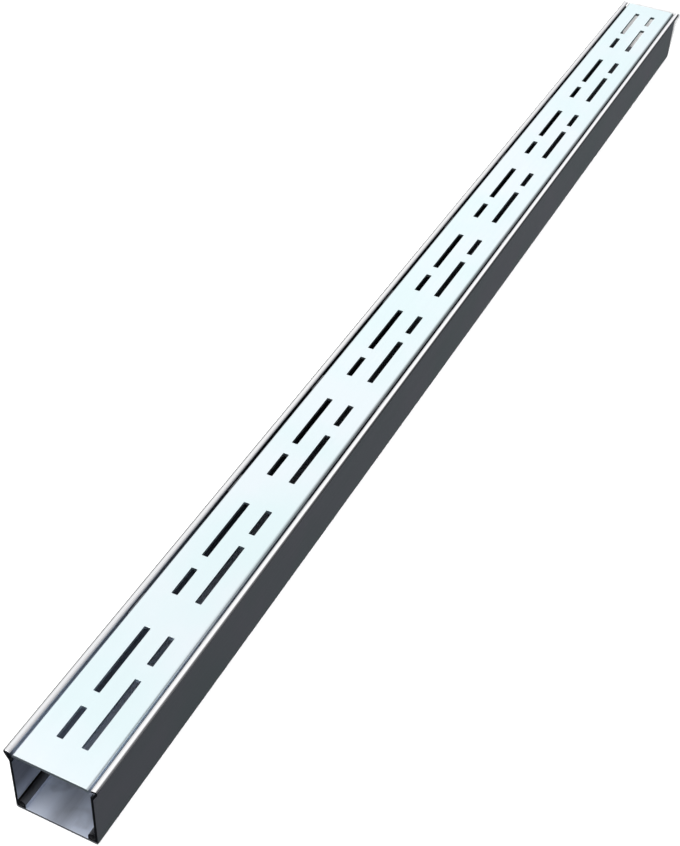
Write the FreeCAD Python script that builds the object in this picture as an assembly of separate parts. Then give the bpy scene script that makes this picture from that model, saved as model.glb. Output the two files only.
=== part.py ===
import FreeCAD, Part
import math
import os

# Channel drain: an extruded gutter with keyed rims and screw ports, open at both ends,
# and a flat slotted grate that lies on crossbars held in the rims' pockets.
# Frame: X along the channel, Y across it, Z up. The origin is under the middle, at the underside.
# Millimetres throughout.

Vector = FreeCAD.Vector

# ---- channel body -----------------------------------------------------------------------
channel_length = 910.0
body_width = 45.0
channel_height = 41.0           # underside to the inner edge of each rim's lip
wall = 1.5
floor_thickness = 1.5
bottom_corner_radius = 1.0

# ---- rims: a sloping flange below, a lip above it, and a pocket between them ---------------
rim_overhang = 2.5              # how far the tip stands out from the wall
lip_setback = 0.5               # the lip's inner edge stands back from the wall's inner face
lip_thickness = 1.2
lip_rise = 0.8                  # the lip's outer edge is this much higher than its inner edge
tip_height = 2.3                # upright outer face of the rim
flange_drop = 6.4               # from the lip's inner edge down to where the flange leaves the wall
flange_thickness = 1.2
tip_crown_radius = 1.0          # the tip's upper edge
tip_radius = 0.5                # the tip's lower edge
lip_crown_radius = 0.55         # the lip's inner upper edge
lip_edge_radius = 0.3
pocket_radius = 0.3
flange_root_radius = 0.8

# ---- screw ports: round, open on a slot beside the wall, one in each bottom corner ---------
port_hole_radius = 1.45
port_wall = 1.0
port_lift = 0.8                 # metal between the hole and the floor
port_slot_width = 1.0
port_foot_radius = 0.3

# ---- grate ------------------------------------------------------------------------------
grate_thickness = 2.0
grate_side_gap = 1.1            # from the grate's long edge to the lip
grate_recess = 0.2              # the grate's top below the lip's inner edge
grate_edge_radius = 1.5         # rounding of the two long upper edges

slot_width = 3.5
slot_corner_radius = 0.4
long_slot = 45.0
short_slot = 20.0
slot_gap = 10.0                 # between the two slots of one row in a group
group_gap = 25.0                # unslotted land between groups
least_end_land = 10.0           # plain metal kept beyond the last group at each end
row_offset = 6.8                # from the centre line to each row

# ---- crossbars under the grate -----------------------------------------------------------
crossbar_width = 15.0
crossbar_thickness = 2.5
crossbar_seat = 0.7             # length of the bar's end on the pocket's floor

# ---- derived ----------------------------------------------------------------------------
outer_y = body_width / 2
inner_y = outer_y - wall
tip_y = outer_y + rim_overhang
tip_top = channel_height + lip_rise
lip_inner_y = inner_y + lip_setback
lip_slope = lip_rise / (tip_y - lip_inner_y)
grate_top = channel_height - grate_recess
grate_half_width = lip_inner_y - grate_side_gap
grate_bottom = grate_top - grate_thickness
shelf_z = grate_bottom - crossbar_thickness
port_y = inner_y - port_hole_radius
port_z = floor_thickness + port_lift + port_hole_radius
port_outer_radius = port_hole_radius + port_wall
group_length = long_slot + slot_gap + short_slot
group_pitch = group_length + group_gap
group_count = int((channel_length - 2 * least_end_land + group_gap) // group_pitch)


def yz(y, z):
    """A point of the channel's section, at the near end."""
    return Vector(-channel_length / 2, y, z)


def rounded_chain(points):
    """Lines through (y, z, radius) points, each inner corner rounded by its radius."""
    edges = []
    start = yz(*points[0][:2])
    for before, here, after in zip(points, points[1:], points[2:]):
        corner = yz(*here[:2])
        radius = here[2]
        if radius == 0:
            edges.append(Part.LineSegment(start, corner).toShape())
            start = corner
            continue
        to_before = (yz(*before[:2]) - corner).normalize()
        to_after = (yz(*after[:2]) - corner).normalize()
        half_angle = to_before.getAngle(to_after) / 2
        setback = radius / math.tan(half_angle)
        first = corner + to_before * setback
        last = corner + to_after * setback
        bisector = (to_before + to_after).normalize()
        middle = corner + bisector * (radius / math.sin(half_angle) - radius)
        edges.append(Part.LineSegment(start, first).toShape())
        edges.append(Part.Arc(first, middle, last).toShape())
        start = last
    edges.append(Part.LineSegment(start, yz(*points[-1][:2])).toShape())
    return edges


def rim_points():
    """The rim from the wall's outer face over the tip and lip and back to the pocket's floor."""
    root_z = channel_height - flange_drop
    flange_foot = Vector(0, outer_y, root_z)
    flange_tip = Vector(0, tip_y, tip_top - tip_height)
    along = (flange_tip - flange_foot).normalize()
    inward = Vector(0, -along.z, along.y)
    inner_start = flange_foot + inward * flange_thickness
    # the flange's inner face, as y for a given z
    run_per_rise = along.y / along.z
    shelf_y = inner_start.y + (shelf_z - inner_start.z) * run_per_rise
    # where that face meets the lip's underside
    lip_under_z = channel_height - lip_thickness
    rise = lip_under_z - inner_start.z + (inner_start.y - lip_inner_y) * lip_slope
    pocket_y = inner_start.y + rise * run_per_rise / (1 - lip_slope * run_per_rise)
    pocket_z = lip_under_z + (pocket_y - lip_inner_y) * lip_slope
    return [
        (outer_y, root_z, flange_root_radius),
        (tip_y, tip_top - tip_height, tip_radius),
        (tip_y, tip_top, tip_crown_radius),
        (lip_inner_y, channel_height, lip_crown_radius),
        (lip_inner_y, lip_under_z, lip_edge_radius),
        (pocket_y, pocket_z, pocket_radius),
        (shelf_y, shelf_z, pocket_radius),
        (inner_y, shelf_z, lip_edge_radius),
    ]


def port_edges():
    """The screw port's hole, slot and outside, from the wall down to its foot on the floor."""
    def on_circle(radius, degrees):
        angle = math.radians(degrees)
        return yz(port_y + radius * math.cos(angle), port_z + radius * math.sin(angle))

    slot_side_y = inner_y - port_slot_width
    reach = slot_side_y - port_y
    hole_end = math.degrees(math.acos(reach / port_hole_radius))
    outside_start = math.degrees(math.acos(reach / port_outer_radius))
    hole_middle = (hole_end - 360) / 2
    outside_middle = (outside_start + 180) / 2
    hole_last = on_circle(port_hole_radius, hole_end)
    outside_first = on_circle(port_outer_radius, outside_start)
    return [
        Part.Arc(yz(inner_y, port_z), on_circle(port_hole_radius, hole_middle), hole_last).toShape(),
        Part.LineSegment(hole_last, outside_first).toShape(),
        Part.Arc(outside_first, on_circle(port_outer_radius, outside_middle),
                 on_circle(port_outer_radius, 180)).toShape(),
    ]


def channel():
    """One extruded piece: half the section, its mirror image, and the length."""
    outside = [(0, 0, 0), (outer_y, 0, bottom_corner_radius)]
    edges = rounded_chain(outside + rim_points() + [(inner_y, port_z, 0)])
    edges += port_edges()
    foot_y = port_y - port_outer_radius
    edges += rounded_chain([
        (foot_y, port_z, 0),
        (foot_y, floor_thickness, port_foot_radius),
        (0, floor_thickness, 0),
    ])
    edges += [edge.mirror(Vector(0, 0, 0), Vector(0, 1, 0)) for edge in edges]
    section = Part.Face(Part.Wire(Part.__sortEdges__(edges)))
    return section.extrude(Vector(channel_length, 0, 0)).removeSplitter()


def slot(x, y, length):
    """A cutter for one slot, centred on x and y."""
    cutter = Part.makeBox(
        length, slot_width, 3 * grate_thickness,
        Vector(x - length / 2, y - slot_width / 2, grate_bottom - grate_thickness))
    upright = [edge for edge in cutter.Edges if abs(edge.tangentAt(0).z) > 0.5]
    return cutter.makeFillet(slot_corner_radius, upright)


def centred(count, pitch):
    """Places of equal steps about the middle."""
    return [(index - (count - 1) / 2) * pitch for index in range(count)]


def slot_group(x):
    """Two rows, each a long and a short slot: the second row is the first turned half round."""
    long_x = (group_length - long_slot) / 2
    short_x = (group_length - short_slot) / 2
    return [
        slot(x + long_x, row_offset, long_slot),
        slot(x - short_x, row_offset, short_slot),
        slot(x - long_x, -row_offset, long_slot),
        slot(x + short_x, -row_offset, short_slot),
    ]


def grate():
    """A flat plate with rounded long edges and its groups of slots."""
    plate = Part.makeBox(
        channel_length, 2 * grate_half_width, grate_thickness,
        Vector(-channel_length / 2, -grate_half_width, grate_bottom))
    long_edges = [
        edge for edge in plate.Edges
        if abs(edge.tangentAt(0).x) > 0.5 and edge.CenterOfMass.z > grate_bottom + grate_thickness / 2
    ]
    plate = plate.makeFillet(grate_edge_radius, long_edges)
    cutters = []
    for x in centred(group_count, group_pitch):
        cutters += slot_group(x)
    return plate.cut(Part.makeCompound(cutters))


def crossbar(x):
    """A flat bar across the channel, its ends on the floors of the two pockets."""
    half_length = inner_y + crossbar_seat
    return Part.makeBox(
        crossbar_width, 2 * half_length, crossbar_thickness,
        Vector(x - crossbar_width / 2, -half_length, shelf_z))


def export(name, shape):
    """One solid to one STEP file."""
    solids = shape.Solids
    if len(solids) != 1 or not solids[0].isValid():
        raise ValueError(f"{name} is not one valid solid")
    solids[0].exportStep(f"parts/{name}.step")
    print(f"{name}: volume {solids[0].Volume:.1f} mm3")


def main():
    os.makedirs("parts", exist_ok=True)
    export("channel", channel())
    export("grate", grate())
    for number, x in enumerate(centred(group_count - 1, group_pitch), start=1):
        export(f"crossbar_{number}", crossbar(x))


main()
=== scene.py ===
import math

import bmesh
import bpy
from bpy.props import FloatProperty, FloatVectorProperty, IntProperty, PointerProperty
from mathutils import Matrix, Quaternion, Vector


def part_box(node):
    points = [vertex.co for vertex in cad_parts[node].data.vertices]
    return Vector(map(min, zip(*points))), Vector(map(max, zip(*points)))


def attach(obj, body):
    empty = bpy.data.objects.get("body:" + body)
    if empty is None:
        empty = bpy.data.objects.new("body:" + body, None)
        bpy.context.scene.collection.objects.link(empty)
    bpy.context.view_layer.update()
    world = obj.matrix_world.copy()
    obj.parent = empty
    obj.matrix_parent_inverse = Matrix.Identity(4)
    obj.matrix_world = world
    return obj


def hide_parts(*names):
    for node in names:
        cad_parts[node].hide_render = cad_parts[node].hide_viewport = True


bl_info = {
    "name": "Slotted Channel Drain",
    "version": (1, 0, 0),
    "blender": (4, 5, 0),
    "location": "View3D > Sidebar > Drain",
    "description": "Dresses an extruded channel drain with its slotted grate and crossbars",
    "category": "Add Mesh",
}

MM = 0.001

# the channel's section
BODY_WIDTH = 45 * MM
BOTTOM_CORNER_RADIUS = 1.0 * MM
FLANGE_ROOT_RADIUS = 0.8 * MM
TIP_RADIUS = 0.5 * MM
TIP_CROWN_RADIUS = 1.0 * MM
LIP_CROWN_RADIUS = 0.55 * MM
LIP_EDGE_RADIUS = 0.3 * MM
POCKET_RADIUS = 0.3 * MM
PORT_FOOT_RADIUS = 0.3 * MM

# edges that are only just broken
PLATE_LOWER_EDGE = 0.1 * MM
BAR_EDGE = 0.25 * MM

# vertices nearer than this are one
WELD_DISTANCE = 0.002 * MM

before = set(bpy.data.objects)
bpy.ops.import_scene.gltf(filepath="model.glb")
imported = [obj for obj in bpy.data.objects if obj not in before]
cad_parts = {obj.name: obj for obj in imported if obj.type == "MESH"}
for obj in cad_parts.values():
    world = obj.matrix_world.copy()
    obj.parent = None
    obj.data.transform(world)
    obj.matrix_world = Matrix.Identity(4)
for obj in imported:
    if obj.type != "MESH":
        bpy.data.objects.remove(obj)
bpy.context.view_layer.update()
CHANNEL_LOW, CHANNEL_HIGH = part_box("channel")
GRATE_LOW, GRATE_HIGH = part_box("grate")
CROSSBARS = sorted(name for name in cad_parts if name.startswith("crossbar_"))
BAR_LOW, BAR_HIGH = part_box(CROSSBARS[0])


# ---- sizes and finishes ---------------------------------------------------------------------


class DrainChannelSizes(bpy.types.PropertyGroup):
    length: FloatProperty(
        name="Length", description="Sawn length of the extrusion",
        default=CHANNEL_HIGH.x - CHANNEL_LOW.x, min=0.1, unit="LENGTH")
    wall: FloatProperty(
        name="Wall", description="Thickness of the two upright walls",
        default=1.5 * MM, min=0.5 * MM, unit="LENGTH")
    floor: FloatProperty(
        name="Floor", description="Thickness of the channel's floor",
        default=1.5 * MM, min=0.5 * MM, unit="LENGTH")
    body_width: FloatProperty(
        name="Body Width", description="Width over the two walls, below the rims",
        default=BODY_WIDTH, min=10 * MM, unit="LENGTH")
    height: FloatProperty(
        name="Height", description="Underside to the inner edge of each lip",
        default=41 * MM, min=10 * MM, unit="LENGTH")
    rim_overhang: FloatProperty(
        name="Rim Overhang", description="How far each rim stands out from its wall",
        default=CHANNEL_HIGH.y - BODY_WIDTH / 2, min=0, unit="LENGTH")
    lip_setback: FloatProperty(
        name="Lip Setback", description="From the wall's inner face back to the lip's inner edge",
        default=0.5 * MM, min=0, unit="LENGTH")
    lip_thickness: FloatProperty(
        name="Lip Thickness", description="Thickness of the metal on top of each rim",
        default=1.2 * MM, min=0.3 * MM, unit="LENGTH")
    lip_rise: FloatProperty(
        name="Lip Rise", description="Each lip's outer edge is this much higher than its inner edge",
        default=0.8 * MM, min=0, unit="LENGTH")
    tip_height: FloatProperty(
        name="Tip Height", description="Upright outer face of each rim",
        default=2.3 * MM, min=0.5 * MM, unit="LENGTH")
    flange_drop: FloatProperty(
        name="Flange Drop", description="From the lip's inner edge down to the foot of the sloping flange",
        default=6.4 * MM, min=1 * MM, unit="LENGTH")
    flange_thickness: FloatProperty(
        name="Flange Thickness", description="Thickness of the sloping flange under each rim",
        default=1.2 * MM, min=0.3 * MM, unit="LENGTH")
    port_hole: FloatProperty(
        name="Screw Port Radius", description="Radius of the round screw port in each bottom corner",
        default=1.45 * MM, min=0.5 * MM, unit="LENGTH")
    port_wall: FloatProperty(
        name="Screw Port Wall", description="Metal round the screw port",
        default=1.0 * MM, min=0.3 * MM, unit="LENGTH")
    port_lift: FloatProperty(
        name="Screw Port Lift", description="Metal between the screw port and the floor",
        default=0.8 * MM, min=0.2 * MM, unit="LENGTH")
    port_slot: FloatProperty(
        name="Screw Port Slot", description="Width of the slot between the port and the wall",
        default=1.0 * MM, min=0.2 * MM, unit="LENGTH")
    sawn_edge: FloatProperty(
        name="Sawn Edge", description="Deburred edge of the two sawn ends",
        default=0.12 * MM, min=0, unit="LENGTH")


class DrainGrateSizes(bpy.types.PropertyGroup):
    edge_radius: FloatProperty(
        name="Edge Radius", description="Rounding of the two long upper edges",
        default=1.5 * MM, min=0.05 * MM, unit="LENGTH")
    slot_width: FloatProperty(
        name="Slot Width", description="Width of every slot",
        default=3.5 * MM, min=0.5 * MM, unit="LENGTH")
    slot_corner: FloatProperty(
        name="Slot Corner", description="Corner radius left by the punch",
        default=0.4 * MM, min=0.05 * MM, unit="LENGTH")
    long_slot: FloatProperty(
        name="Long Slot", description="Length of the long slots",
        default=45 * MM, min=2 * MM, unit="LENGTH")
    short_slot: FloatProperty(
        name="Short Slot", description="Length of the short slots",
        default=20 * MM, min=2 * MM, unit="LENGTH")
    slot_gap: FloatProperty(
        name="Slot Gap", description="Metal between the two slots of one row in a group",
        default=10 * MM, min=1 * MM, unit="LENGTH")
    group_gap: FloatProperty(
        name="Group Gap", description="Plain land between two groups of slots",
        default=25 * MM, min=1 * MM, unit="LENGTH")
    group_count: IntProperty(
        name="Groups", description="Number of slot groups, one more than the crossbars between them",
        default=len(CROSSBARS) + 1, min=1)
    row_offset: FloatProperty(
        name="Row Offset", description="From the centre line to each row of slots",
        default=6.8 * MM, min=2 * MM, unit="LENGTH")
    punched_edge: FloatProperty(
        name="Punched Edge", description="Tiny rounding that the punch leaves along each slot",
        default=0.12 * MM, min=0, unit="LENGTH")


class DrainFinish(bpy.types.PropertyGroup):
    mill: FloatVectorProperty(
        name="Mill Metal", description="Drawn aluminium of the outer walls",
        subtype="COLOR", size=3, default=(0.6, 0.61, 0.63), min=0, max=1)
    # painted highlight: the rims' tops are painted much lighter than the outer walls
    rim: FloatVectorProperty(
        name="Bright Rim", description="Highlighted metal on top of the rims",
        subtype="COLOR", size=3, default=(0.97, 0.97, 0.98), min=0, max=1)
    # painted shade along the rims' edges
    rim_edge_shade: FloatVectorProperty(
        name="Rim Edge", description="Shadowed metal along the rims' edges",
        subtype="COLOR", size=3, default=(0.56, 0.56, 0.58), min=0, max=1)
    # painted light: the inside's colour where the open near end lights it
    inner: FloatVectorProperty(
        name="Inner Metal", description="Metal inside the channel, near its ends",
        subtype="COLOR", size=3, default=(0.42, 0.44, 0.5), min=0, max=1)
    # painted shade inside the channel, away from the near end
    inside_shade: FloatVectorProperty(
        name="Shaded Metal", description="Dark metal deeper inside the channel",
        subtype="COLOR", size=3, default=(0.12, 0.125, 0.14), min=0, max=1)
    # painted pool of light on the channel's floor near the open near end
    light_pool: FloatVectorProperty(
        name="Painted Light", description="Pale bloom on the channel's floor near its ends",
        subtype="COLOR", size=3, default=(0.71, 0.77, 0.9), min=0, max=1)
    # painted shade: the sawn ends are painted nearly black
    sawn: FloatVectorProperty(
        name="Sawn Metal", description="Metal of the two sawn ends",
        subtype="COLOR", size=3, default=(0.02, 0.021, 0.027), min=0, max=1)
    # the end of the channel's floor, painted lighter than the rest of the painted-dark ends
    lighter_floor_end: FloatVectorProperty(
        name="Lighter Edge", description="Lighter end of the channel's floor",
        subtype="COLOR", size=3, default=(0.17, 0.175, 0.19), min=0, max=1)
    grate: FloatVectorProperty(
        name="Grate Metal", description="Satin metal of the grate",
        subtype="COLOR", size=3, default=(0.82, 0.92, 0.955), min=0, max=1)
    bar: FloatVectorProperty(
        name="Bar Metal", description="Plain metal of the crossbars",
        subtype="COLOR", size=3, default=(0.55, 0.56, 0.58), min=0, max=1)
    studio_floor: FloatVectorProperty(
        name="Studio Floor", description="Pale floor that the drain lies on",
        subtype="COLOR", size=3, default=(0.5, 0.5, 0.5), min=0, max=1)


# ---- building blocks ------------------------------------------------------------------------


def add(tree, kind, inputs=None, **settings):
    """One node, with its settings and with each input given a value or wired to an output."""
    node = tree.nodes.new(kind)
    for name, value in settings.items():
        setattr(node, name, value)
    for key, value in (inputs or {}).items():
        if isinstance(value, bpy.types.NodeSocket):
            tree.links.new(value, node.inputs[key])
        else:
            node.inputs[key].default_value = value
    return node


def result_of(tree, operation, *values):
    """One arithmetic node's result."""
    return add(tree, "ShaderNodeMath", dict(enumerate(values)), operation=operation).outputs[0]


def ramp(tree, value, start, end, low=0.0, high=1.0, smooth=False):
    """A share that goes from low to high as the value goes from start to end, and no further."""
    return add(tree, "ShaderNodeMapRange", {
        "Value": value, "From Min": start, "From Max": end, "To Min": low, "To Max": high},
        interpolation_type="SMOOTHSTEP" if smooth else "LINEAR").outputs[0]


def product_of(tree, first, second):
    """The product of two values or outputs."""
    return result_of(tree, "MULTIPLY", first, second)


def point_of(tree, x=0.0, y=0.0, z=0.0):
    """A vector put together from three values or outputs."""
    return add(tree, "ShaderNodeCombineXYZ", {"X": x, "Y": y, "Z": z}).outputs[0]


def blend_of(tree, share, first, second):
    """A colour that goes from the first to the second as share goes from 0 to 1."""
    node = add(tree, "ShaderNodeMix", {"Factor": share}, data_type="RGBA")
    for socket, value in ((node.inputs[6], first), (node.inputs[7], second)):
        if isinstance(value, bpy.types.NodeSocket):
            tree.links.new(value, socket)
        else:
            socket.default_value = (*value, 1)
    return node.outputs[2]


def new_node_tree(name, inputs):
    """A Geometry Nodes tree with named size inputs, a material input and geometry in and out."""
    tree = bpy.data.node_groups.new(name, "GeometryNodeTree")
    tree.interface.new_socket("Geometry", in_out="INPUT", socket_type="NodeSocketGeometry")
    for label, value in inputs.items():
        kind = "NodeSocketInt" if isinstance(value, int) else "NodeSocketFloat"
        socket = tree.interface.new_socket(label, in_out="INPUT", socket_type=kind)
        if kind == "NodeSocketFloat":
            socket.subtype = "DISTANCE"
        socket.default_value = value
    tree.interface.new_socket("Material", in_out="INPUT", socket_type="NodeSocketMaterial")
    tree.interface.new_socket("Geometry", in_out="OUTPUT", socket_type="NodeSocketGeometry")
    return tree


def close_tree(tree, geometry, material):
    """Ends a tree: instances made real, the material set, and the output wired."""
    real = add(tree, "GeometryNodeRealizeInstances", {"Geometry": geometry})
    dressed = add(tree, "GeometryNodeSetMaterial", {"Geometry": real.outputs[0], "Material": material})
    add(tree, "NodeGroupOutput", {"Geometry": dressed.outputs[0]})


def grow(name, tree, values, material, seed_mesh=None):
    """A new object whose plain mesh is what the tree makes from the values."""
    piece = bpy.data.objects.new(name, seed_mesh or bpy.data.meshes.new(name))
    bpy.context.scene.collection.objects.link(piece)
    modifier = piece.modifiers.new(tree.name, "NODES")
    modifier.node_group = tree
    for item in tree.interface.items_tree:
        if item.in_out == "INPUT" and item.name in values:
            modifier[item.identifier] = values[item.name]
        elif item.in_out == "INPUT" and item.name == "Material":
            modifier[item.identifier] = material
    flatten(piece)
    return piece


def flatten(piece):
    """Turns what the piece's modifiers make into its own plain mesh."""
    graph = bpy.context.evaluated_depsgraph_get()
    made = bpy.data.meshes.new_from_object(piece.evaluated_get(graph))
    piece.modifiers.clear()
    piece.data = made
    made.name = piece.name
    if not made.polygons:
        raise RuntimeError(f"{piece.name} came out empty")


def weld(piece):
    """Merges the piece's doubles and turns its faces outwards."""
    work = bmesh.new()
    work.from_mesh(piece.data)
    bmesh.ops.remove_doubles(work, verts=work.verts, dist=WELD_DISTANCE)
    bmesh.ops.recalc_face_normals(work, faces=work.faces)
    work.to_mesh(piece.data)
    work.free()


def break_edges(piece, width, segments=2):
    """Rounds the piece's sharp edges and lets its large faces lead the shading."""
    bevel = piece.modifiers.new("broken_edges", "BEVEL")
    bevel.width = width
    bevel.segments = segments
    bevel.limit_method = "ANGLE"
    bevel.angle_limit = math.radians(50)
    bevel.use_clamp_overlap = True
    flatten(piece)
    piece.data.polygons.foreach_set("use_smooth", [True] * len(piece.data.polygons))
    piece.data.set_sharp_from_angle(angle=math.radians(40))
    lead = piece.modifiers.new("face_weighted_shading", "WEIGHTED_NORMAL")
    lead.keep_sharp = True
    flatten(piece)


def hand_over(piece, slot, *nodes):
    """The piece rides on the object's one body, in place of its CAD nodes."""
    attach(piece, "root")
    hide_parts(*nodes)


# ---- finishes -------------------------------------------------------------------------------


def shade_of(colour, share):
    """The colour times a share."""
    return tuple(Vector(colour) * share)


def new_material(name):
    """An empty material: its tree, its Principled shader and its Object coordinates."""
    material = bpy.data.materials.new(name)
    material.use_nodes = True
    tree = material.node_tree
    tree.nodes.clear()
    shader = add(tree, "ShaderNodeBsdfPrincipled", {"Metallic": 1.0})
    add(tree, "ShaderNodeOutputMaterial", {"Surface": shader.outputs[0]})
    place = add(tree, "ShaderNodeTexCoord").outputs["Object"]
    return material, tree, shader, place


def drawn_lines(tree, place, along, across):
    """Noise pulled out along X, as a die or an abrasive belt leaves it. Scales are per metre."""
    mapping = add(tree, "ShaderNodeMapping", {"Vector": place, "Scale": (along, across, across)})
    noise = add(tree, "ShaderNodeTexNoise", {
        "Vector": mapping.outputs[0], "Scale": 1.0, "Detail": 2.0, "Roughness": 0.6})
    return noise.outputs["Fac"]


def patches(tree, place, scale, low, high):
    """Soft patches from 0 to 1. The scale is per metre."""
    noise = add(tree, "ShaderNodeTexNoise", {
        "Vector": place, "Scale": scale, "Detail": 3.0, "Roughness": 0.5})
    return ramp(tree, noise.outputs["Fac"], low, high)


def channel_finish(finish, sizes):
    """Drawn aluminium: die lines, faint colour patches, a painted highlight on the rims, painted shade
    inside and on the sawn ends, painted light towards the near end.
    """
    material, tree, shader, place = new_material("channel_aluminium")
    split = add(tree, "ShaderNodeSeparateXYZ", {"Vector": place}).outputs
    across = result_of(tree, "ABSOLUTE", split["Y"])
    from_middle = result_of(tree, "ABSOLUTE", split["X"])
    near_x = -sizes.length / 2
    outer_y = sizes.body_width / 2
    lip_y = outer_y - sizes.wall + sizes.lip_setback
    tip_y = outer_y + sizes.rim_overhang

    # where each finish lies
    sawn = result_of(tree, "GREATER_THAN", from_middle, sizes.length / 2 - 0.02 * MM)
    unsawn = result_of(tree, "SUBTRACT", 1.0, sawn)
    on_rim = result_of(tree, "GREATER_THAN", split["Z"], sizes.height - 0.4 * MM)
    between_walls = result_of(tree, "LESS_THAN", across, outer_y - sizes.wall / 2)
    above_floor = result_of(tree, "GREATER_THAN", split["Z"], sizes.floor / 2)
    inside = product_of(tree, between_walls, above_floor)

    # the outer walls, with die lines and patches of two tints
    mill = Vector(finish.mill)
    green_tint = mill * 0.96 + Vector((-0.02, 0.01, 0.01))
    plum_tint = mill + Vector((0.015, -0.01, 0.02))
    outer = blend_of(tree, patches(tree, place, 22.0, 0.35, 0.65), green_tint, plum_tint)
    lines = drawn_lines(tree, place, 3.0, 1400.0)
    dull = product_of(tree, lines, 0.25)
    outer = blend_of(tree, dull, outer, shade_of(mill, 0.7))

    # the inside is painted dark as shade, painted lighter towards the open near end, with a painted pool of
    # light in soft patches on the lowest part of it there
    mouth_light = ramp(tree, split["X"], near_x + 330 * MM, near_x + 10 * MM, smooth=True)
    low_down = ramp(tree, split["Z"], 17 * MM, 5 * MM)
    # the painted pool of light comes in soft patches, stronger away from the middle line
    pool_patches = patches(tree, place, 60.0, 0.2, 0.5)
    pool_patches = product_of(tree, pool_patches, ramp(tree, across, 2 * MM, 11 * MM, 0.48, 1.3))
    light_pool = product_of(tree, product_of(tree, mouth_light, low_down), pool_patches)
    inner = blend_of(tree, mouth_light, finish.inside_shade, finish.inner)
    inner = blend_of(tree, dull, inner, finish.inside_shade)
    inner = blend_of(tree, light_pool, inner, finish.light_pool)

    # painted shade on the screw ports, darker from their feet to their crowns
    port_side = outer_y - sizes.wall - 2 * sizes.port_hole - sizes.port_wall
    port_top = sizes.floor + sizes.port_lift + 2 * sizes.port_hole + sizes.port_wall
    on_port = product_of(
        tree, result_of(tree, "GREATER_THAN", across, port_side),
        result_of(tree, "LESS_THAN", split["Z"], port_top))
    port_crown = ramp(tree, across, port_side + 0.3 * MM, port_side + 2 * MM)
    port_shade = blend_of(tree, port_crown, shade_of(finish.inside_shade, 1.1), shade_of(finish.inside_shade, 0.25))
    inner = blend_of(tree, on_port, inner, port_shade)
    metal = blend_of(tree, inside, outer, inner)

    # the pockets behind the flanges are painted darker still as shade, with the painted pool of light a
    # little way in from the near end
    lean = sizes.rim_overhang / (sizes.flange_drop + sizes.lip_rise - sizes.tip_height)
    foot_z = sizes.height - sizes.flange_drop
    middle_of_flange = result_of(tree, "MULTIPLY_ADD", split["Z"], lean, outer_y - foot_z * lean)
    from_flange = result_of(tree, "SUBTRACT", middle_of_flange, across)
    in_pocket = product_of(
        tree, result_of(tree, "GREATER_THAN", from_flange, sizes.flange_thickness / 2),
        result_of(tree, "GREATER_THAN", split["Z"], foot_z))
    past_mouth = ramp(tree, split["X"], near_x + 1 * MM, near_x + 4 * MM)
    pocket_mouth_light = product_of(tree, result_of(tree, "POWER", mouth_light, 1.5), past_mouth)
    pocket = blend_of(tree, pocket_mouth_light, shade_of(finish.inside_shade, 0.4), finish.light_pool)
    metal = blend_of(tree, in_pocket, metal, pocket)

    # painted highlight along the rims' crests and painted shade towards both edges, darkest on the +Y side
    rise = ramp(tree, across, lip_y, lip_y + 1.8 * MM, smooth=True)
    fall = ramp(tree, across, tip_y - 1.4 * MM, tip_y - 0.4 * MM, smooth=True)
    crest = blend_of(tree, rise, finish.rim_edge_shade, finish.rim)
    back_side = result_of(tree, "GREATER_THAN", split["Y"], 0.0)
    tip_shade = blend_of(
        tree, back_side, shade_of(finish.rim_edge_shade, 0.35), shade_of(finish.rim_edge_shade, 0.08))
    crest = blend_of(tree, fall, crest, tip_shade)
    metal = blend_of(tree, on_rim, metal, crest)

    # painted shade: the sawn ends are painted nearly black, apart from the end of the floor, which is
    # painted lighter
    metal = blend_of(tree, sawn, metal, finish.sawn)
    lighter_floor_end = product_of(tree, sawn, result_of(tree, "LESS_THAN", split["Z"], sizes.floor))
    metal = blend_of(tree, lighter_floor_end, metal, finish.lighter_floor_end)
    tree.links.new(metal, shader.inputs["Base Color"])

    # the painted pool of light, its painted light in the pockets and the lighter end of the floor take most
    # of the metal's lustre
    dulled = product_of(tree, product_of(tree, inside, light_pool), unsawn)
    dulled = result_of(tree, "MAXIMUM", dulled, product_of(tree, in_pocket, pocket_mouth_light))
    dulled = product_of(tree, dulled, unsawn)
    dulled = result_of(tree, "MAXIMUM", dulled, lighter_floor_end)
    tree.links.new(result_of(tree, "MULTIPLY_ADD", dulled, -0.7, 1.0), shader.inputs["Metallic"])

    # roughness: more inside, less on the rims
    rough = ramp(tree, lines, 0.3, 0.7, 0.36, 0.46)
    rough = result_of(tree, "MULTIPLY_ADD", inside, 0.2, rough)
    rough = result_of(tree, "MULTIPLY_ADD", on_rim, -0.17, rough)
    tree.links.new(rough, shader.inputs["Roughness"])

    # die lines and saw marks
    saw_place = add(tree, "ShaderNodeMapping", {
        "Vector": place, "Rotation": (math.radians(25), 0, 0), "Scale": (1, 300, 2600)}).outputs[0]
    saw = add(tree, "ShaderNodeTexNoise", {"Vector": saw_place, "Scale": 1.0, "Detail": 2.0}).outputs["Fac"]
    height = product_of(tree, lines, unsawn)
    height = result_of(tree, "MULTIPLY_ADD", product_of(tree, saw, sawn), 2.0, height)
    bump = add(tree, "ShaderNodeBump", {"Height": height, "Strength": 0.35, "Distance": 0.02 * MM})
    tree.links.new(bump.outputs[0], shader.inputs["Normal"])
    return material


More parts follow.
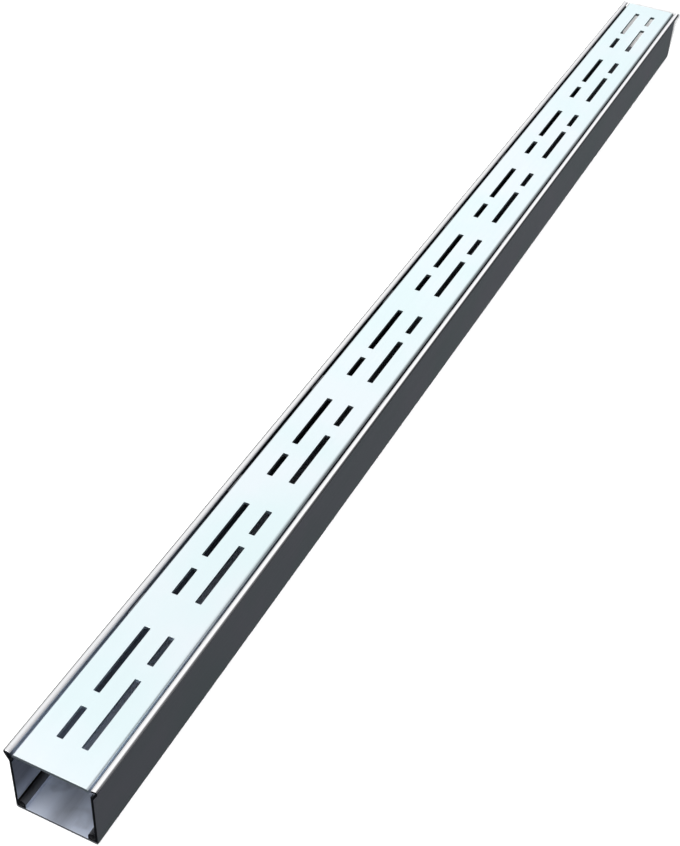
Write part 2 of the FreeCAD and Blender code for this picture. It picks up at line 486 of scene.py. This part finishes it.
def grate_finish(finish):
    """Satin metal: fine brushing along the plate, faint cool and pale patches, and painted shade along the
    long edges.
    """
    material, tree, shader, place = new_material("grate_satin_metal")
    tint = Vector(finish.grate)
    cool = tint * 0.985 + Vector((-0.02, 0.01, 0.0))
    pale = tint + Vector((0.02, -0.005, 0.0))
    colour = blend_of(tree, patches(tree, place, 16.0, 0.38, 0.62), cool, pale)
    brushing = drawn_lines(tree, place, 12.0, 2200.0)
    colour = blend_of(tree, product_of(tree, brushing, 0.12), colour, shade_of(tint, 0.8))

    # painted shade along the two long edges, growing away from the near end, the -Y edge in a broader band
    split = add(tree, "ShaderNodeSeparateXYZ", {"Vector": place}).outputs
    across = result_of(tree, "ABSOLUTE", result_of(tree, "SUBTRACT", split["Y"], 0.45 * MM))
    edge = ramp(tree, across, GRATE_HIGH.y - 2.05 * MM, GRATE_HIGH.y - 0.65 * MM, smooth=True)
    edge_shade_share = ramp(tree, split["X"], GRATE_LOW.x + 55 * MM, GRATE_LOW.x + 235 * MM, 0.0, 0.5)
    colour = blend_of(tree, product_of(tree, edge, edge_shade_share), colour, (0.0, 0.0, 0.0))
    tree.links.new(colour, shader.inputs["Base Color"])
    tree.links.new(ramp(tree, brushing, 0.3, 0.7, 0.3, 0.38), shader.inputs["Roughness"])
    bump = add(tree, "ShaderNodeBump", {"Height": brushing, "Strength": 0.2, "Distance": 0.01 * MM})
    tree.links.new(bump.outputs[0], shader.inputs["Normal"])
    return material


def bar_finish(finish):
    """Plain flat bar: rolled lines and dull patches."""
    material, tree, shader, place = new_material("crossbar_metal")
    rolled = add(tree, "ShaderNodeMapping", {"Vector": place, "Scale": (900, 8, 900)}).outputs[0]
    noise = add(tree, "ShaderNodeTexNoise", {"Vector": rolled, "Scale": 1.0, "Detail": 2.0}).outputs["Fac"]
    colour = blend_of(tree, patches(tree, place, 90.0, 0.35, 0.65), finish.bar, shade_of(finish.bar, 0.75))
    tree.links.new(colour, shader.inputs["Base Color"])
    tree.links.new(ramp(tree, noise, 0.3, 0.7, 0.4, 0.55), shader.inputs["Roughness"])
    bump = add(tree, "ShaderNodeBump", {"Height": noise, "Strength": 0.25, "Distance": 0.02 * MM})
    tree.links.new(bump.outputs[0], shader.inputs["Normal"])
    return material


# ---- channel --------------------------------------------------------------------------------


def arc(centre, radius, start, turn):
    """Points round a centre from one angle through a turn, ends included."""
    steps = max(3, math.ceil(abs(turn) / math.radians(9)))
    return [
        centre + radius * Vector((math.cos(start + turn * i / steps), math.sin(start + turn * i / steps)))
        for i in range(steps + 1)
    ]


def rounded_chain(points):
    """The line through (y, z, radius) points, each inner corner rounded by its radius."""
    line = [Vector(points[0][:2])]
    for before, here, after in zip(points, points[1:], points[2:]):
        corner, radius = Vector(here[:2]), here[2]
        if radius == 0:
            line.append(corner)
            continue
        to_before = (Vector(before[:2]) - corner).normalized()
        to_after = (Vector(after[:2]) - corner).normalized()
        half_angle = to_before.angle(to_after) / 2
        centre = corner + (to_before + to_after).normalized() * (radius / math.sin(half_angle))
        setback = radius / math.tan(half_angle)
        first = corner + to_before * setback - centre
        last = corner + to_after * setback - centre
        turn = math.atan2(first.cross(last), first.dot(last))
        line += arc(centre, radius, math.atan2(first.y, first.x), turn)
    line.append(Vector(points[-1][:2]))
    return line


def rim_points(sizes):
    """The rim's corners, from the flange's foot over the tip and lip to the pocket's floor."""
    outer_y = sizes.body_width / 2
    inner_y = outer_y - sizes.wall
    tip_y = outer_y + sizes.rim_overhang
    tip_top = sizes.height + sizes.lip_rise
    lip_y = inner_y + sizes.lip_setback
    lip_slope = sizes.lip_rise / (tip_y - lip_y)
    shelf_z = BAR_LOW.z
    foot = Vector((outer_y, sizes.height - sizes.flange_drop))
    tip = Vector((tip_y, tip_top - sizes.tip_height))
    along = (tip - foot).normalized()
    inner_start = foot + Vector((-along.y, along.x)) * sizes.flange_thickness
    run_per_rise = along.x / along.y
    shelf_y = inner_start.x + (shelf_z - inner_start.y) * run_per_rise
    lip_under = sizes.height - sizes.lip_thickness
    rise = lip_under - inner_start.y + (inner_start.x - lip_y) * lip_slope
    pocket_y = inner_start.x + rise * run_per_rise / (1 - lip_slope * run_per_rise)
    pocket_z = lip_under + (pocket_y - lip_y) * lip_slope
    return [
        (foot.x, foot.y, FLANGE_ROOT_RADIUS),
        (tip.x, tip.y, TIP_RADIUS),
        (tip_y, tip_top, TIP_CROWN_RADIUS),
        (lip_y, sizes.height, LIP_CROWN_RADIUS),
        (lip_y, lip_under, LIP_EDGE_RADIUS),
        (pocket_y, pocket_z, POCKET_RADIUS),
        (shelf_y, shelf_z, POCKET_RADIUS),
        (inner_y, shelf_z, LIP_EDGE_RADIUS),
    ]


def port_line(sizes):
    """The screw port's hole, slot and outside, from the wall down to its foot on the floor."""
    inner_y = sizes.body_width / 2 - sizes.wall
    centre = Vector((inner_y - sizes.port_hole, sizes.floor + sizes.port_lift + sizes.port_hole))
    outside = sizes.port_hole + sizes.port_wall
    reach = inner_y - sizes.port_slot - centre.x
    hole_end = math.acos(reach / sizes.port_hole)
    outside_start = math.acos(reach / outside)
    return (
        arc(centre, sizes.port_hole, 0.0, hole_end - math.tau)
        + arc(centre, outside, outside_start, math.pi - outside_start)
    ), centre.x - outside, centre.y


def section_outline(sizes):
    """The closed outline of the channel's section as (y, z) points."""
    port, foot_y, port_z = port_line(sizes)
    inner_y = sizes.body_width / 2 - sizes.wall
    outside = [(0, 0, 0), (sizes.body_width / 2, 0, BOTTOM_CORNER_RADIUS)]
    half = rounded_chain(outside + rim_points(sizes) + [(inner_y, port_z, 0)])
    half += port[1:]
    half += rounded_chain([
        (foot_y, port_z, 0), (foot_y, sizes.floor, PORT_FOOT_RADIUS), (0, sizes.floor, 0)])[1:]
    mirrored = [Vector((-point.x, point.y)) for point in reversed(half[1:-1])]
    return half + mirrored


def outline_mesh(sizes):
    """The section outline as a ring of edges, drawn flat for the sweep."""
    outline = section_outline(sizes)
    count = len(outline)
    mesh = bpy.data.meshes.new("channel_section")
    mesh.from_pydata([(*point, 0) for point in outline], [(i, (i + 1) % count) for i in range(count)], [])
    return mesh


def sweep_tree(values):
    """Sweeps a section outline along X and closes both ends."""
    tree = new_node_tree("section_sweep", values)
    given = add(tree, "NodeGroupInput").outputs
    half = result_of(tree, "DIVIDE", given["Length"], 2.0)
    back = product_of(tree, half, -1.0)
    path = add(tree, "GeometryNodeCurvePrimitiveLine", {
        "Start": point_of(tree, back), "End": point_of(tree, half)})
    upright = add(tree, "GeometryNodeSetCurveTilt", {"Curve": path.outputs[0], "Tilt": math.pi})
    section = add(tree, "GeometryNodeMeshToCurve", {"Mesh": given["Geometry"]})
    body = add(tree, "GeometryNodeCurveToMesh", {
        "Curve": upright.outputs[0], "Profile Curve": section.outputs[0], "Fill Caps": True})
    close_tree(tree, body.outputs[0], given["Material"])
    return tree


class DRAIN_OT_channel(bpy.types.Operator):
    """Sweep the channel's section with its rims and screw ports along the drain"""
    bl_idname = "drain.channel"
    bl_label = "Channel"

    def execute(self, context):
        sizes, finish = context.scene.drain_channel, context.scene.drain_finish
        values = {"Length": sizes.length}
        piece = grow(
            "channel_body", sweep_tree(values), values, channel_finish(finish, sizes), outline_mesh(sizes))
        weld(piece)
        break_edges(piece, sizes.sawn_edge)
        hand_over(piece, "channel_metal", "channel")
        return {"FINISHED"}


# ---- grate ----------------------------------------------------------------------------------


def grate_tree(values):
    """A plate with rounded long edges, less its groups of slots."""
    tree = new_node_tree("slotted_plate", values)
    given = add(tree, "NodeGroupInput").outputs

    # plate: its section swept along X
    half = result_of(tree, "DIVIDE", given["Length"], 2.0)
    back = product_of(tree, half, -1.0)
    middle_z = result_of(tree, "MULTIPLY_ADD", given["Thickness"], -0.5, given["Top"])
    path = add(tree, "GeometryNodeCurvePrimitiveLine", {
        "Start": point_of(tree, back, 0.0, middle_z), "End": point_of(tree, half, 0.0, middle_z)})
    upright = add(tree, "GeometryNodeSetCurveTilt", {"Curve": path.outputs[0], "Tilt": math.pi})
    section = add(tree, "GeometryNodeCurvePrimitiveQuadrilateral", {
        "Width": given["Width"], "Height": given["Thickness"]})
    height = add(tree, "ShaderNodeSeparateXYZ", {
        "Vector": add(tree, "GeometryNodeInputPosition").outputs[0]}).outputs["Y"]
    is_top = result_of(tree, "GREATER_THAN", height, 0.0)
    radius = product_of(tree, given["Edge Radius"], is_top)
    radius = result_of(tree, "MAXIMUM", radius, PLATE_LOWER_EDGE)
    rounded = add(tree, "GeometryNodeFilletCurve", {
        "Curve": section.outputs[0], "Count": 7, "Radius": radius}, mode="POLY")
    plate = add(tree, "GeometryNodeCurveToMesh", {
        "Curve": upright.outputs[0], "Profile Curve": rounded.outputs[0], "Fill Caps": True})

    # one cutter for each slot length, stood through the plate
    under = result_of(tree, "MULTIPLY_ADD", given["Thickness"], -2.0, given["Top"])
    over = result_of(tree, "ADD", given["Thickness"], given["Top"])
    stroke = add(tree, "GeometryNodeCurvePrimitiveLine", {
        "Start": point_of(tree, 0.0, 0.0, under), "End": point_of(tree, 0.0, 0.0, over)})

    def cutter(length):
        shape = add(tree, "GeometryNodeCurvePrimitiveQuadrilateral", {
            "Width": length, "Height": given["Slot Width"]})
        cornered = add(tree, "GeometryNodeFilletCurve", {
            "Curve": shape.outputs[0], "Count": 4, "Radius": given["Slot Corner"]}, mode="POLY")
        return add(tree, "GeometryNodeCurveToMesh", {
            "Curve": stroke.outputs[0], "Profile Curve": cornered.outputs[0], "Fill Caps": True}).outputs[0]

    # a group: one row, and the same row turned half round
    long_x = result_of(tree, "DIVIDE", result_of(tree, "ADD", given["Slot Gap"], given["Short Slot"]), 2.0)
    short_x = result_of(tree, "DIVIDE", result_of(tree, "ADD", given["Slot Gap"], given["Long Slot"]), -2.0)
    row = add(tree, "GeometryNodeJoinGeometry")
    for length, x in ((given["Long Slot"], long_x), (given["Short Slot"], short_x)):
        placed = add(tree, "GeometryNodeTransform", {
            "Geometry": cutter(length), "Translation": point_of(tree, x, given["Row Offset"], 0.0)})
        tree.links.new(placed.outputs[0], row.inputs[0])
    turned = add(tree, "GeometryNodeTransform", {
        "Geometry": row.outputs[0], "Rotation": (0, 0, math.pi)})
    group = add(tree, "GeometryNodeJoinGeometry")
    tree.links.new(row.outputs[0], group.inputs[0])
    tree.links.new(turned.outputs[0], group.inputs[0])

    # groups at equal steps about the middle
    pitch = result_of(tree, "ADD", given["Long Slot"], given["Short Slot"])
    pitch = result_of(tree, "ADD", pitch, given["Slot Gap"])
    pitch = result_of(tree, "ADD", pitch, given["Group Gap"])
    steps = result_of(tree, "DIVIDE", result_of(tree, "SUBTRACT", given["Groups"], 1.0), -2.0)
    places = add(tree, "GeometryNodeMeshLine", {
        "Count": given["Groups"], "Start Location": point_of(tree, product_of(tree, steps, pitch)),
        "Offset": point_of(tree, pitch)})
    groups = add(tree, "GeometryNodeInstanceOnPoints", {
        "Points": places.outputs[0], "Instance": group.outputs[0]})
    cutters = add(tree, "GeometryNodeRealizeInstances", {"Geometry": groups.outputs[0]})
    cut = add(tree, "GeometryNodeMeshBoolean", {
        "Mesh 1": plate.outputs[0], "Mesh 2": cutters.outputs[0]}, operation="DIFFERENCE", solver="EXACT")
    close_tree(tree, cut.outputs[0], given["Material"])
    return tree


class DRAIN_OT_grate(bpy.types.Operator):
    """Punch the groups of slots out of the rounded plate"""
    bl_idname = "drain.grate"
    bl_label = "Grate"

    def execute(self, context):
        sizes, finish = context.scene.drain_grate, context.scene.drain_finish
        values = {
            "Length": GRATE_HIGH.x - GRATE_LOW.x,
            "Width": GRATE_HIGH.y - GRATE_LOW.y,
            "Thickness": GRATE_HIGH.z - GRATE_LOW.z,
            "Top": GRATE_HIGH.z,
            "Edge Radius": sizes.edge_radius,
            "Slot Width": sizes.slot_width,
            "Slot Corner": sizes.slot_corner,
            "Long Slot": sizes.long_slot,
            "Short Slot": sizes.short_slot,
            "Slot Gap": sizes.slot_gap,
            "Group Gap": sizes.group_gap,
            "Row Offset": sizes.row_offset,
            "Groups": sizes.group_count,
        }
        piece = grow("grate_plate", grate_tree(values), values, grate_finish(finish))
        weld(piece)
        break_edges(piece, sizes.punched_edge)
        hand_over(piece, "grate_metal", "grate")
        return {"FINISHED"}


# ---- crossbars ------------------------------------------------------------------------------


def crossbar_tree(values):
    """Equal flat bars at equal steps along X."""
    tree = new_node_tree("spaced_bars", values)
    given = add(tree, "NodeGroupInput").outputs
    bar = add(tree, "GeometryNodeMeshCube", {
        "Size": point_of(tree, given["Bar Width"], given["Bar Length"], given["Bar Thickness"])})
    places = add(tree, "GeometryNodeMeshLine", {
        "Count": given["Bars"],
        "Start Location": point_of(tree, given["First Bar"], 0.0, given["Middle Height"]),
        "Offset": point_of(tree, given["Pitch"])})
    bars = add(tree, "GeometryNodeInstanceOnPoints", {
        "Points": places.outputs[0], "Instance": bar.outputs["Mesh"]})
    close_tree(tree, bars.outputs[0], given["Material"])
    return tree


class DRAIN_OT_crossbars(bpy.types.Operator):
    """Lay the flat bars that carry the grate across the rims' pockets"""
    bl_idname = "drain.crossbars"
    bl_label = "Crossbars"

    def execute(self, context):
        middles = sorted((low.x + high.x) / 2 for low, high in map(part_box, CROSSBARS))
        values = {
            "Bar Width": BAR_HIGH.x - BAR_LOW.x,
            "Bar Length": BAR_HIGH.y - BAR_LOW.y,
            "Bar Thickness": BAR_HIGH.z - BAR_LOW.z,
            "Middle Height": (BAR_LOW.z + BAR_HIGH.z) / 2,
            "First Bar": middles[0],
            "Pitch": middles[1] - middles[0],
            "Bars": len(CROSSBARS),
        }
        finish = bar_finish(context.scene.drain_finish)
        piece = grow("crossbars", crossbar_tree(values), values, finish)
        weld(piece)
        break_edges(piece, BAR_EDGE)
        hand_over(piece, "crossbar_metal", *CROSSBARS)
        return {"FINISHED"}


# ---- stage ----------------------------------------------------------------------------------


def lay_floor(finish):
    """A wide pale floor just under the drain."""
    work = bmesh.new()
    bmesh.ops.create_circle(
        work, cap_ends=True, segments=96, radius=300, matrix=Matrix.Translation((0, 0, -0.1 * MM)))
    mesh = bpy.data.meshes.new("studio_floor")
    work.to_mesh(mesh)
    work.free()
    floor = bpy.data.objects.new("studio_floor", mesh)
    bpy.context.scene.collection.objects.link(floor)
    material, tree, shader, place = new_material("studio_floor")
    shader.inputs["Metallic"].default_value = 0.0
    shader.inputs["Roughness"].default_value = 0.9
    pale = finish.studio_floor
    colour = blend_of(tree, patches(tree, place, 3.0, 0.3, 0.7), pale, shade_of(pale, 0.985))
    tree.links.new(colour, shader.inputs["Base Color"])
    mesh.materials.append(material)
    # the drain neither mirrors the floor nor is lit by it
    floor.visible_diffuse = False
    floor.visible_glossy = False


def light_sky():
    """A pale dome, dimmer on the -Y side, over a dark lower half."""
    world = bpy.data.worlds.new("studio_dome")
    world.use_nodes = True
    tree = world.node_tree
    tree.nodes.clear()
    direction = add(tree, "ShaderNodeTexCoord").outputs["Generated"]
    split = add(tree, "ShaderNodeSeparateXYZ", {"Vector": direction}).outputs
    # the horizon is lower on the +Y side
    dip = ramp(tree, split["Y"], 0.2, 0.7, 0.0, 0.3, smooth=True)
    rise = ramp(tree, result_of(tree, "ADD", split["Z"], dip), -0.12, 0.2, smooth=True)
    # the bright part reaches further to the -Y side the higher it goes
    lift = result_of(tree, "MAXIMUM", result_of(tree, "SUBTRACT", split["Z"], 0.6), 0.0)
    reach = result_of(tree, "ADD", split["Y"], product_of(tree, lift, 1.2))
    side = ramp(tree, reach, -0.35, 0.2, smooth=True)
    bright = blend_of(tree, ramp(tree, split["Z"], 0.55, 0.9), (1.19, 1.19, 1.17), (0.83, 0.83, 0.84))
    bright = blend_of(tree, ramp(tree, split["Z"], 0.55, 0.38), bright, (1.08, 1.08, 1.1))
    # the -Y side is dim, but for its middle
    middle = ramp(tree, split["Y"], -0.62, -0.85, smooth=True)
    dim = blend_of(tree, middle, (0.26, 0.265, 0.275), (0.85, 0.85, 0.87))
    upper = blend_of(tree, side, dim, bright)
    steep = ramp(tree, split["Z"], -0.5, -0.8)
    lower = blend_of(tree, steep, (0.1, 0.11, 0.115), (0.068, 0.075, 0.082))
    sky = blend_of(tree, rise, lower, upper)
    # plain white behind the drain, whichever way the camera looks
    seen = add(tree, "ShaderNodeLightPath").outputs["Is Camera Ray"]
    sky = blend_of(tree, seen, sky, (1.0, 1.0, 1.0))
    shine = add(tree, "ShaderNodeBackground", {"Color": sky, "Strength": 1.0})
    add(tree, "ShaderNodeOutputWorld", {"Surface": shine.outputs[0]})
    bpy.context.scene.world = world


def place_lamp(lamp, direction, place=(0, 0, 0)):
    """Hangs a lamp at a place, shining along a direction."""
    holder = bpy.data.objects.new(lamp.name, lamp)
    holder.location = place
    holder.rotation_mode = "QUATERNION"
    holder.rotation_quaternion = direction.to_track_quat("-Z", "Y")
    bpy.context.scene.collection.objects.link(holder)
    return holder


def light_drain():
    """A softbox overhead, beyond the near end and the +Y side, that the camera doesn't see."""
    softbox = bpy.data.lights.new("overhead_softbox", "AREA")
    softbox.shape = "RECTANGLE"
    softbox.size = 1.8
    softbox.size_y = 1.6
    softbox.energy = 26
    place = Vector((-0.8, 0.8, 3.0))
    aim = Vector((-0.2, 0, 0))
    holder = place_lamp(softbox, aim - place, place)
    holder.visible_camera = False


def wash_floor():
    """A raking lamp for the floor alone, so low that the drain's shadow falls behind it."""
    wash = bpy.data.lights.new("floor_wash", "SUN")
    wash.energy = 13
    wash.angle = math.radians(3)
    holder = place_lamp(wash, Vector((2.28, 0.4, -1.0)))
    lit = bpy.data.collections.new("floor_only")
    lit.objects.link(bpy.data.objects["studio_floor"])
    holder.light_linking.receiver_collection = lit


def stand_camera():
    """The camera at the drain's near end, looking along it and down."""
    place = Vector((-0.7573, -0.2662, 0.5824))
    aim = Vector((-0.17925, -0.00777, 0.0408))
    roll = math.radians(3.248)
    camera_data = bpy.data.cameras.new("main_camera")
    camera_data.sensor_width = 36
    camera_data.lens = 61.933
    camera_data.clip_start = 0.01
    camera_data.clip_end = 1000
    camera = bpy.data.objects.new("main_camera", camera_data)
    camera.location = place
    camera.rotation_mode = "QUATERNION"
    level = (aim - place).to_track_quat("-Z", "Y")
    camera.rotation_quaternion = level @ Quaternion((0, 0, 1), roll)
    bpy.context.scene.collection.objects.link(camera)
    bpy.context.scene.camera = camera


class DRAIN_OT_stage(bpy.types.Operator):
    """Set out the floor, the soft light and the camera"""
    bl_idname = "drain.stage"
    bl_label = "Stage"

    def execute(self, context):
        lay_floor(context.scene.drain_finish)
        light_sky()
        light_drain()
        wash_floor()
        stand_camera()
        context.scene.view_settings.view_transform = "Standard"
        return {"FINISHED"}


# ---- panel and registration -----------------------------------------------------------------


class DRAIN_PT_panel(bpy.types.Panel):
    bl_idname = "DRAIN_PT_panel"
    bl_label = "Channel Drain"
    bl_space_type = "VIEW_3D"
    bl_region_type = "UI"
    bl_category = "Drain"

    def draw(self, context):
        layout = self.layout
        for group in (context.scene.drain_channel, context.scene.drain_grate, context.scene.drain_finish):
            box = layout.box()
            for name in group.__annotations__:
                box.prop(group, name)
        for operator in OPERATORS:
            layout.operator(operator.bl_idname)


GROUPS = {
    "drain_channel": DrainChannelSizes,
    "drain_grate": DrainGrateSizes,
    "drain_finish": DrainFinish,
}
OPERATORS = (DRAIN_OT_channel, DRAIN_OT_grate, DRAIN_OT_crossbars, DRAIN_OT_stage)
CLASSES = (*GROUPS.values(), *OPERATORS, DRAIN_PT_panel)


def register():
    for kind in CLASSES:
        bpy.utils.register_class(kind)
    for name, kind in GROUPS.items():
        setattr(bpy.types.Scene, name, PointerProperty(type=kind))


def unregister():
    for name in GROUPS:
        delattr(bpy.types.Scene, name)
    for kind in reversed(CLASSES):
        bpy.utils.unregister_class(kind)


def main():
    """Builds the drain and its stage."""
    register()
    bpy.ops.drain.channel()
    bpy.ops.drain.grate()
    bpy.ops.drain.crossbars()
    bpy.ops.drain.stage()


if __name__ == "__main__":
    main()
